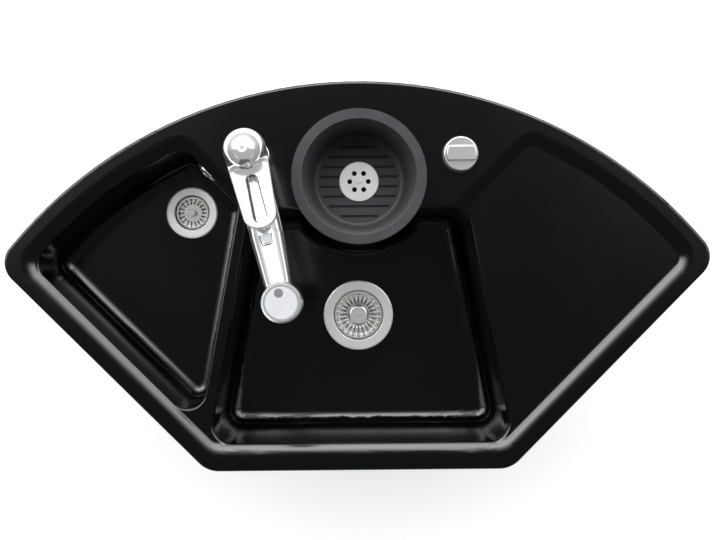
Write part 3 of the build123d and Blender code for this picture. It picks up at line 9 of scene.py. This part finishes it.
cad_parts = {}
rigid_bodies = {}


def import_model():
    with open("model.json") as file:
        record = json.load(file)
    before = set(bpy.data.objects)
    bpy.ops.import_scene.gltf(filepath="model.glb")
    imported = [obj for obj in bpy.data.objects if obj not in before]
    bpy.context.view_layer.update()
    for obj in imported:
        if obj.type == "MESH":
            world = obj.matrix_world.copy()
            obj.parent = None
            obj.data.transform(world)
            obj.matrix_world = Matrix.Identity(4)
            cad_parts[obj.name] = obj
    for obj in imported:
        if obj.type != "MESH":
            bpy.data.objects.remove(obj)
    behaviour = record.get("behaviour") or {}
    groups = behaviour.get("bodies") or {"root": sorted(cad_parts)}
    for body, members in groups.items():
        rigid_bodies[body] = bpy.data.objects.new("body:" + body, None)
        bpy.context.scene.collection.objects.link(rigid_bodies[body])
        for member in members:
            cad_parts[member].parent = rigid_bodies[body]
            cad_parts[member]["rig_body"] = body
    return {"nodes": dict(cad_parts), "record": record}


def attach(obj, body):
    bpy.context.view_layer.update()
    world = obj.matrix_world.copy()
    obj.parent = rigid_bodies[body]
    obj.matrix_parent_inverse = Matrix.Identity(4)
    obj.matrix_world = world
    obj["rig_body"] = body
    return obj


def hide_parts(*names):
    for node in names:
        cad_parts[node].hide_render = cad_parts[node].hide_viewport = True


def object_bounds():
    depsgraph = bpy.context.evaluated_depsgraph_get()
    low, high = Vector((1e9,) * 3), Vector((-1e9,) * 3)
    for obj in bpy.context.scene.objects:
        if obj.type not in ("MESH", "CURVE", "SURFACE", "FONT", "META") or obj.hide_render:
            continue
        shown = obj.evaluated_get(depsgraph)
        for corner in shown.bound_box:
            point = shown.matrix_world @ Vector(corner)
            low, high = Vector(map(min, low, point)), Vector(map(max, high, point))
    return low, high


for thing in list(bpy.data.objects):
    bpy.data.objects.remove(thing)

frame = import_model()
cad_low, cad_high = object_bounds()
NODES = frame["nodes"]
BODY_OF = {node: ob["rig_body"] for node, ob in NODES.items()}
SLOT_OF = {s["node"]: s["material_slot"] for s in frame["record"]["subparts"]}


def add_mesh(name, mesh):
    ob = bpy.data.objects.new(name, mesh)
    bpy.context.scene.collection.objects.link(ob)
    return ob


def skin_tree(ob):
    """The object's faces, ready to be hit by rays."""
    corners = [vert.co for vert in ob.data.vertices]
    return BVHTree.FromPolygons(corners, [tuple(face.vertices) for face in ob.data.polygons])


# --- materials --------------------------------------------------------------------------------------
class Shader:
    """A material's node tree with short calls for the nodes used here."""

    def __init__(self, name, color, roughness, metallic=0.0, **sockets):
        self.mat = bpy.data.materials.new(name)
        self.mat.use_nodes = True
        self.tree = self.mat.node_tree
        self.bsdf = self.tree.nodes["Principled BSDF"]
        self.bsdf.inputs["Base Color"].default_value = (*color, 1)
        self.bsdf.inputs["Roughness"].default_value = roughness
        self.bsdf.inputs["Metallic"].default_value = metallic
        for socket, value in sockets.items():
            self.bsdf.inputs[socket.replace("_", " ")].default_value = value
        self.coords = self.add("ShaderNodeTexCoord").outputs["Object"]

    def add(self, kind, **inputs):
        node = self.tree.nodes.new(kind)
        for key, value in inputs.items():
            self.set(node.inputs[key.replace("_", " ")], value)
        return node

    def set(self, socket, value):
        if isinstance(value, bpy.types.NodeSocket):
            self.tree.links.new(value, socket)
        else:
            socket.default_value = value

    def noise(self, scale, detail=3.0, stretch=(1, 1, 1)):
        place = self.add("ShaderNodeMapping", Vector=self.coords, Scale=stretch)
        return self.add("ShaderNodeTexNoise", Vector=place.outputs[0], Scale=scale, Detail=detail).outputs["Fac"]

    def ramp(self, value, low, high, start=0.35, end=0.65):
        """A value spread over colours or numbers, low below start and high above end."""
        node = self.add("ShaderNodeValToRGB", Fac=value)
        ends = [c if isinstance(c, tuple) else (c, c, c) for c in (low, high)]
        node.color_ramp.elements[0].position = start
        node.color_ramp.elements[0].color = (*ends[0], 1)
        node.color_ramp.elements[1].position = end
        node.color_ramp.elements[1].color = (*ends[1], 1)
        return node.outputs["Color"]

    def bump(self, height, strength, distance):
        node = self.add("ShaderNodeBump", Height=height, Strength=strength, Distance=distance)
        self.set(self.bsdf.inputs["Normal"], node.outputs["Normal"])


def glazed_ceramic():
    s = Shader("glaze_black", (0.001, 0.001, 0.0012), 0.15, Specular_IOR_Level=1.0)
    s.set(s.bsdf.inputs["Roughness"], s.ramp(s.noise(9, 4), 0.14, 0.17))
    s.set(s.bsdf.inputs["Base Color"], s.ramp(s.noise(60, 5), (0.0009, 0.0009, 0.0011), (0.0014, 0.0014, 0.0016)))
    s.bump(s.noise(22, 2), 0.02, 0.001)
    return s.mat


def chrome():
    s = Shader("chrome_bright", (0.82, 0.82, 0.83), 0.1, 0.88)
    s.set(s.bsdf.inputs["Roughness"], s.ramp(s.noise(40, 4), 0.1, 0.14))
    s.set(s.bsdf.inputs["Base Color"], s.ramp(s.noise(15, 2), (0.8, 0.8, 0.81), (0.84, 0.84, 0.845)))
    return s.mat


def steel():
    s = Shader("steel_polished", (0.85, 0.85, 0.84), 0.25, 0.74)
    s.set(s.bsdf.inputs["Roughness"], s.ramp(s.noise(70, 4), 0.3, 0.38))
    s.set(s.bsdf.inputs["Base Color"], s.ramp(s.noise(25, 3), (0.84, 0.84, 0.835), (0.9, 0.9, 0.895)))
    s.bump(s.noise(900, 2), 0.05, 0.0002)
    return s.mat


def polished_steel():
    s = Shader("steel_bright", (0.8, 0.8, 0.79), 0.14, 0.92)
    s.set(s.bsdf.inputs["Roughness"], s.ramp(s.noise(90, 3), 0.12, 0.18))
    s.set(s.bsdf.inputs["Base Color"], s.ramp(s.noise(40, 3), (0.78, 0.78, 0.77), (0.86, 0.86, 0.855)))
    return s.mat


def plastic(name, low, high, rough, grain=1500, strength=0.12):
    s = Shader(name, low, rough)
    s.set(s.bsdf.inputs["Base Color"], s.ramp(s.noise(35, 4), low, high))
    s.set(s.bsdf.inputs["Roughness"], s.ramp(s.noise(300, 3), rough - 0.06, rough + 0.06))
    s.bump(s.noise(grain, 2), strength, 0.0003)
    return s.mat


def insert_plastic():
    """Anthracite plastic with painted shade: near black in the grooves of the bowl's floor."""
    s = Shader("insert_anthracite_groove_shade", (0.06, 0.06, 0.065), 0.45)
    groove_shade_mask = s.add("ShaderNodeMapRange", Value=s.add("ShaderNodeSeparateXYZ", Vector=s.coords).outputs["Z"])
    groove_shade_mask.inputs["From Min"].default_value, groove_shade_mask.inputs["From Max"].default_value = -0.081, -0.0802
    grain = s.ramp(s.noise(35, 4), (0.062, 0.062, 0.068), (0.074, 0.074, 0.08))
    # Painted shade: the base colour drops to near black at the bottoms of the floor's grooves.
    mix = s.add("ShaderNodeMixRGB", Fac=groove_shade_mask.outputs["Result"], Color1=(0.004, 0.004, 0.004, 1), Color2=grain)
    s.set(s.bsdf.inputs["Base Color"], mix.outputs["Color"])
    s.set(s.bsdf.inputs["Roughness"], s.ramp(s.noise(300, 3), 0.4, 0.5))
    s.bump(s.noise(2500, 2), 0.25, 0.0003)
    return s.mat


def brass():
    s = Shader("brass_turned", (0.62, 0.45, 0.2), 0.3, 1.0)
    s.set(s.bsdf.inputs["Roughness"], s.ramp(s.noise(60, 4), 0.24, 0.4))
    s.set(s.bsdf.inputs["Base Color"], s.ramp(s.noise(20, 3), (0.5, 0.35, 0.14), (0.66, 0.49, 0.23)))
    return s.mat


FINISH = {
    "black_ceramic": glazed_ceramic(),
    "chrome": chrome(),
    "steel": steel(),
    "brass": brass(),
    "seal_rubber": plastic("rubber_black", (0.012, 0.012, 0.012), (0.02, 0.02, 0.02), 0.7),
    "plumbing_plastic": plastic("pipe_grey", (0.5, 0.5, 0.49), (0.56, 0.56, 0.55), 0.45),
    "nut_plastic": plastic("nut_black", (0.02, 0.02, 0.022), (0.03, 0.03, 0.032), 0.5),
    "grey_trim": plastic("trim_grey", (0.1, 0.1, 0.105), (0.13, 0.13, 0.135), 0.4),
    "cap_trim": plastic("cap_silver", (0.62, 0.63, 0.65), (0.66, 0.67, 0.69), 0.25),
    "insert_plastic": insert_plastic(),
}


# --- carried-over nodes -----------------------------------------------------------------------------
def flat_regions(mesh, normals):
    """A label for each face: faces that lie in one plane and touch share it."""
    faces_of = {}
    for face in mesh.polygons:
        for key in face.edge_keys:
            faces_of.setdefault(key, []).append(face.index)
    parent = list(range(len(mesh.polygons)))

    def root(i):
        while parent[i] != i:
            parent[i] = parent[parent[i]]
            i = parent[i]
        return i

    limit = math.cos(math.radians(0.4))
    for pair in faces_of.values():
        if len(pair) == 2 and float(normals[pair[0]] @ normals[pair[1]]) > limit:
            parent[root(pair[0])] = root(pair[1])
    return np.array([root(i) for i in range(len(parent))])


def even_normals(mesh, angle):
    """Corner normals weighted by the whole flat area each face belongs to, so rounds run into flats evenly."""
    count = len(mesh.polygons)
    normals, areas = np.zeros(3 * count), np.zeros(count)
    mesh.polygons.foreach_get("normal", normals)
    mesh.polygons.foreach_get("area", areas)
    normals = normals.reshape(-1, 3)
    region = flat_regions(mesh, normals)
    weight = np.zeros(count)
    np.add.at(weight, region, areas)
    mesh.shade_smooth()
    corner_vert = np.zeros(len(mesh.loops), int)
    mesh.loops.foreach_get("vertex_index", corner_vert)
    totals = np.zeros(count, int)
    mesh.polygons.foreach_get("loop_total", totals)
    corner_face = np.repeat(np.arange(count), totals)
    pairs = np.unique(np.stack([corner_vert, region[corner_face]], 1), axis=0)
    first = np.searchsorted(pairs[:, 0], corner_vert, "left")
    last = np.searchsorted(pairs[:, 0], corner_vert, "right")
    spans = last - first
    corner = np.repeat(np.arange(len(corner_vert)), spans)
    place = np.arange(len(corner)) - np.repeat(np.cumsum(spans) - spans, spans) + np.repeat(first, spans)
    other = pairs[place, 1]
    own = normals[corner_face[corner]]
    near = (own * normals[other]).sum(1) > math.cos(math.radians(angle))
    result = np.zeros((len(corner_vert), 3))
    np.add.at(result, corner[near], normals[other[near]] * weight[other[near], None])
    result /= np.linalg.norm(result, axis=1, keepdims=True)
    mesh.normals_split_custom_set(result.tolist())


def dress(node, angle=32.0):
    """The CAD node's own shape with clean shading and its finish."""
    ob = add_mesh(node + "_dressed", NODES[node].data.copy())
    bm = bmesh.new()
    bm.from_mesh(ob.data)
    bmesh.ops.remove_doubles(bm, verts=bm.verts, dist=1e-6)
    bmesh.ops.dissolve_degenerate(bm, edges=bm.edges, dist=1e-7)
    bm.to_mesh(ob.data)
    bm.free()
    ob.data.materials.clear()
    ob.data.materials.append(FINISH[SLOT_OF[node]])
    even_normals(ob.data, angle)
    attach(ob, BODY_OF[node])
    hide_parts(node)
    return ob


DRESSED = {node: dress(node) for node in sorted(NODES)}
DRESSED["spray_key"].data.materials[0] = plastic("key_silver", (0.5, 0.51, 0.53), (0.56, 0.57, 0.59), 0.3)
DRESSED["head_inlay"].data.materials[0] = plastic("inlay_grey", (0.27, 0.27, 0.28), (0.31, 0.31, 0.32), 0.35)
POLISHED = polished_steel()
for node in ("main_basket", "main_basket_stem", "half_plug", "half_plug_stem", "lifter_pin"):
    DRESSED[node].data.materials[0] = POLISHED


# --- pressed beads round the basket -----------------------------------------------------------------
BEADS = 24
BEAD_R = 0.0028
BEAD_FLATNESS = 0.5
BEAD_RING_R = 0.0352
BASKET_MIDDLE = Vector((0.001, 0.218, 0))


def basket_beads():
    """A ring of low round beads between the basket's slots and its rim."""
    tree = skin_tree(DRESSED["main_basket"])
    bm = bmesh.new()
    for i in range(BEADS):
        turn = math.radians(360 / BEADS * (i + 0.5))
        centre = BASKET_MIDDLE + Vector((math.cos(turn), math.sin(turn), 0)) * BEAD_RING_R
        foot = tree.ray_cast(centre + Vector((0, 0, 0.05)), Vector((0, 0, -1)))[0]
        bead = bmesh.ops.create_uvsphere(bm, u_segments=16, v_segments=8, radius=BEAD_R)
        for vert in bead["verts"]:
            vert.co = Vector((vert.co.x, vert.co.y, vert.co.z * BEAD_FLATNESS)) + foot
    mesh = bpy.data.meshes.new("basket_beads")
    bm.to_mesh(mesh)
    bm.free()
    mesh.shade_smooth()
    mesh.materials.append(POLISHED)
    ob = add_mesh("basket_beads", mesh)
    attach(ob, "basket")
    return ob


DRESSED["basket_beads"] = basket_beads()
SLOT_OF["basket_beads"] = "steel"


# --- painted shade in the joint round the spray's key -----------------------------------------------
JOINT_SHADE_INNER = [(0.1462, 0.0084), (0.1611, 0.006), (0.1619, 0.0051)]  # (along the spout, to its side)
JOINT_SHADE_OUTER = [(0.1462, 0.0101), (0.1624, 0.0075), (0.1641, 0.0057)]
JOINT_SHADE_PROUD, JOINT_SHADE_SUNK = 0.0004, -0.0006
RUN_STEPS = 6
SPOUT_START = Vector((-0.159, 0.471, 0.084))
ALONG = Vector((0.230593, -0.904654, 0.358368))
ACROSS = Vector((-0.969016, -0.246999, 0.0))
UP = ACROSS.cross(ALONG).normalized()


def key_joint_shade():
    """A thin dark band on the spray's skin, round the sides and foot of the key: painted shade of the joint."""
    tree = skin_tree(DRESSED["spray_body"])
    bm = bmesh.new()
    rows = []
    for line in (JOINT_SHADE_INNER, JOINT_SHADE_OUTER):
        line = line + [(s, -l) for s, l in reversed(line)]
        row = []
        for (s0, l0), (s1, l1) in zip(line, line[1:]):
            steps = [k / RUN_STEPS for k in range(RUN_STEPS)]
            row += [(s0 + (s1 - s0) * step, l0 + (l1 - l0) * step) for step in steps]
        row.append(line[-1])
        rows.append(row)
    loops = []
    for height in (JOINT_SHADE_PROUD, JOINT_SHADE_SUNK):
        for row in rows:
            loop = []
            for s, l in row:
                start = SPOUT_START + ALONG * s + ACROSS * l + UP * 0.06
                hit = tree.ray_cast(start, -UP)[0]
                loop.append(bm.verts.new(hit + UP * height))
            loops.append(loop)
    top_in, top_out, low_in, low_out = loops
    for a, b in ((top_in, top_out), (top_out, low_out), (low_out, low_in), (low_in, top_in)):
        for i in range(len(a) - 1):
            bm.faces.new((a[i], a[i + 1], b[i + 1], b[i]))
    for i in (0, -1):
        bm.faces.new((top_in[i], top_out[i], low_out[i], low_in[i]))
    bmesh.ops.recalc_face_normals(bm, faces=bm.faces)
    mesh = bpy.data.meshes.new("key_joint_shade")
    bm.to_mesh(mesh)
    bm.free()
    ob = add_mesh("key_joint_shade", mesh)
    # The band's dark trim colour is painted shade in the joint at the key's sides and foot.
    mesh.materials.append(FINISH["grey_trim"])
    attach(ob, "spray")


key_joint_shade()


# --- camera, lights and floor -----------------------------------------------------------------------
camera = bpy.data.objects.new("camera", bpy.data.cameras.new("camera"))
camera.data.lens = 50
camera.data.sensor_width = 36
camera.location = (0.001, 0.2956, 1.535)
camera.rotation_euler = (0, 0, math.radians(-0.55))
bpy.context.scene.collection.objects.link(camera)
bpy.context.scene.camera = camera

# Cards over and beside the sink light the metal alone, so that they leave no mirror image in the black glaze.
METAL = bpy.data.collections.new("metal")
for node, ob in DRESSED.items():
    if SLOT_OF[node] in ("chrome", "steel", "brass", "cap_trim"):
        METAL.objects.link(ob)
bpy.context.scene.collection.children.link(METAL)


def card(name, place, size, radiance):
    """An area light that faces the sink and shines on the metal only."""
    lamp = bpy.data.lights.new(name, "AREA")
    lamp.shape = "RECTANGLE"
    lamp.size, lamp.size_y = size
    lamp.energy = radiance * math.pi * size[0] * size[1]
    ob = bpy.data.objects.new(name, lamp)
    ob.location = place
    ob.rotation_euler = (Vector((0, 0.3, 0)) - Vector(place)).to_track_quat("-Z", "Y").to_euler()
    ob.visible_camera = False
    ob.light_linking.receiver_collection = METAL
    bpy.context.scene.collection.objects.link(ob)


card("card_top", (0, 0.3, 3.0), (8.5, 8.5), 0.38)
card("card_left", (-2.7, -1.1, 1.2), (4.6, 2.0), 0.3)
card("card_right", (2.7, -1.1, 1.2), (4.6, 2.0), 0.3)

floor_mesh = bpy.data.meshes.new("floor")
floor_mesh.from_pydata([(-6, -6, 0), (6, -6, 0), (6, 6, 0), (-6, 6, 0)], [], [(0, 1, 2, 3)])
floor = add_mesh("floor", floor_mesh)
floor.location = (0, 0, cad_low.z - 0.002)
white = Shader("floor_white", (0.8, 0.8, 0.8), 0.8)
rays = white.add("ShaderNodeLightPath")
glow = white.add("ShaderNodeMath", Value=0.0)
glow.operation = "MULTIPLY"
seen = white.add("ShaderNodeMath")
seen.operation = "MAXIMUM"
white.set(seen.inputs[0], rays.outputs["Is Camera Ray"])
white.set(seen.inputs[1], rays.outputs["Is Glossy Ray"])
white.set(glow.inputs[0], seen.outputs[0])
glow.inputs[1].default_value = 0.62
white.set(white.bsdf.inputs["Emission Strength"], glow.outputs[0])
white.bsdf.inputs["Emission Color"].default_value = (1, 1, 1, 1)
floor_mesh.materials.append(white.mat)

# The light is a soft band behind the sink that wraps round to its sides; overhead and in front it is dark.
LIGHT = 4.8
DARK = 0.013
TOP_TO_HORIZON = [  # degrees from straight up, share of the light's full strength
    (0, 0.0), (12, 0.004), (20, 0.09), (30, 0.38), (38, 0.74), (45, 1.0), (51, 1.0), (57, 0.6), (62, 0.36),
    (70, 0.22), (90, 0.14),
]
FRONT_TO_BACK = [(-0.08, 0.0), (0.05, 0.2), (0.18, 0.55), (0.45, 0.95), (0.7, 1.0), (1.0, 1.0)]
LEFT_TO_RIGHT = [(-1.0, 0.95), (-0.6, 0.95), (0.0, 1.0), (0.6, 0.72), (1.0, 0.65)]


def curve(tree, value, points):
    """Values read off along (place, value) points, with straight runs between them."""
    node = tree.nodes.new("ShaderNodeFloatCurve")
    line = node.mapping.curves[0]
    low, high = points[0][0], points[-1][0]
    span = tree.nodes.new("ShaderNodeMapRange")
    span.inputs["From Min"].default_value, span.inputs["From Max"].default_value = low, high
    tree.links.new(value, span.inputs["Value"])
    places = [((place - low) / (high - low), height) for place, height in points]
    line.points[0].location, line.points[1].location = places[0], places[-1]
    for place in places[1:-1]:
        line.points.new(*place)
    for point in line.points:
        point.handle_type = "VECTOR"
    node.mapping.update()
    tree.links.new(span.outputs["Result"], node.inputs["Value"])
    return node.outputs["Value"]


def studio():
    world = bpy.data.worlds.new("studio")
    world.use_nodes = True
    tree = world.node_tree
    ray = tree.nodes.new("ShaderNodeTexCoord").outputs["Generated"]
    flatten = tree.nodes.new("ShaderNodeVectorMath")
    flatten.operation = "MULTIPLY"
    flatten.inputs[1].default_value = (1, 1, 0)
    bearing = tree.nodes.new("ShaderNodeVectorMath")
    bearing.operation = "NORMALIZE"
    parts = [tree.nodes.new("ShaderNodeSeparateXYZ") for _ in range(2)]
    tree.links.new(ray, flatten.inputs[0])
    tree.links.new(flatten.outputs[0], bearing.inputs[0])
    tree.links.new(ray, parts[0].inputs[0])
    tree.links.new(bearing.outputs[0], parts[1].inputs[0])
    heights = [(math.cos(math.radians(angle)), share) for angle, share in reversed(TOP_TO_HORIZON)]
    level = curve(tree, parts[0].outputs["Z"], heights)
    sides = (
        curve(tree, parts[1].outputs["Y"], FRONT_TO_BACK),
        curve(tree, parts[1].outputs["X"], LEFT_TO_RIGHT),
    )
    for side, base in zip(sides, (0.0, DARK)):
        product = tree.nodes.new("ShaderNodeMath")
        product.operation = "MULTIPLY_ADD"
        tree.links.new(level, product.inputs[0])
        tree.links.new(side, product.inputs[1])
        product.inputs[2].default_value = base
        level = product.outputs[0]

    backs = [tree.nodes["Background"], tree.nodes.new("ShaderNodeBackground")]
    tree.links.new(level, backs[0].inputs["Color"])
    backs[0].inputs["Strength"].default_value = LIGHT
    backs[1].inputs["Color"].default_value = (1, 1, 1, 1)
    mix = tree.nodes.new("ShaderNodeMixShader")
    tree.links.new(tree.nodes.new("ShaderNodeLightPath").outputs["Is Camera Ray"], mix.inputs[0])
    for back, socket in zip(backs, mix.inputs[1:]):
        tree.links.new(back.outputs[0], socket)
    tree.links.new(mix.outputs[0], tree.nodes["World Output"].inputs["Surface"])
    return world


bpy.context.scene.world = studio()

bpy.context.scene.view_settings.view_transform = "Standard"
